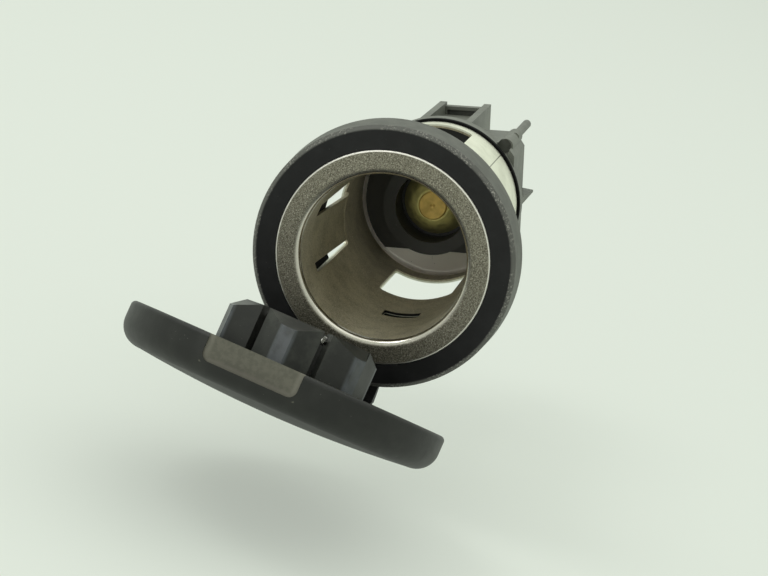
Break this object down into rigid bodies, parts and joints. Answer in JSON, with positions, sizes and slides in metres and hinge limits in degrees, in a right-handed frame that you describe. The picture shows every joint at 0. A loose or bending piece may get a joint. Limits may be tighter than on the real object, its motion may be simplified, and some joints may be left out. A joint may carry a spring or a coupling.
{
  "type": "cigarette lighter socket",
  "caption": "Round panel socket for a plug-in heater or 12 volt plug, with a sprung steel receptacle, centre contact, rear connector housing and a strap-held plug lid.",
  "frame": {"origin": "on the socket's axis, in the plane where the ring seats on the panel", "axes": "-Y points out of the mouth towards the user, +Y towards the connector, +Z away from the lid's strap"},
  "size_m": [0.0427, 0.0937, 0.0407],
  "materials": {
    "plated_steel": "nickel-plated drawn sheet, satin, slightly stained",
    "black_plastic": "moulded black plastic with a fine satin grain",
    "plug_plastic": "moulded dark grey plastic",
    "housing_plastic": "moulded grey-black plastic, dusty",
    "insulator": "black moulded insulator",
    "fibre": "pressed fibre",
    "brass": "dull tarnished brass",
    "tinned_steel": "tinned sheet",
    "spring_steel": "bright drawn wire",
    "rubber": "soft black rubber"
  },
  "bodies": {
    "socket": {"receptacle_shell": "plated_steel", "bezel_ring": "black_plastic", "contact_insulator": "insulator", "centre_contact": "brass", "contact_rivet": "brass", "insulating_washer": "fibre", "positive_terminal": "brass", "earth_terminal": "tinned_steel", "seal_ring": "rubber", "rear_housing": "housing_plastic"},
    "strap": {"lid_strap": "black_plastic"},
    "lid": {"lid_cover": "black_plastic", "lid_plug": "plug_plastic", "plug_spring": "spring_steel"}
  },
  "joints": [
    {"name": "strap_twist", "type": "hinge", "parent": "socket", "child": "strap", "pos_m": [0, -0.001, -0.0194], "axis": [0, 0, 1], "range_deg": [-7.2, 16.8]},
    {"name": "lid_fold", "type": "hinge", "parent": "strap", "child": "lid", "pos_m": [0, -0.001, -0.0194], "axis": [0.9573, -0.289, 0], "range_deg": [-70, 30], "deforming": ["lid_strap"]}
  ],
  "couplings": [
    {"joint": "strap_twist", "follows": "lid_fold", "ratio": -0.24}
  ]
}
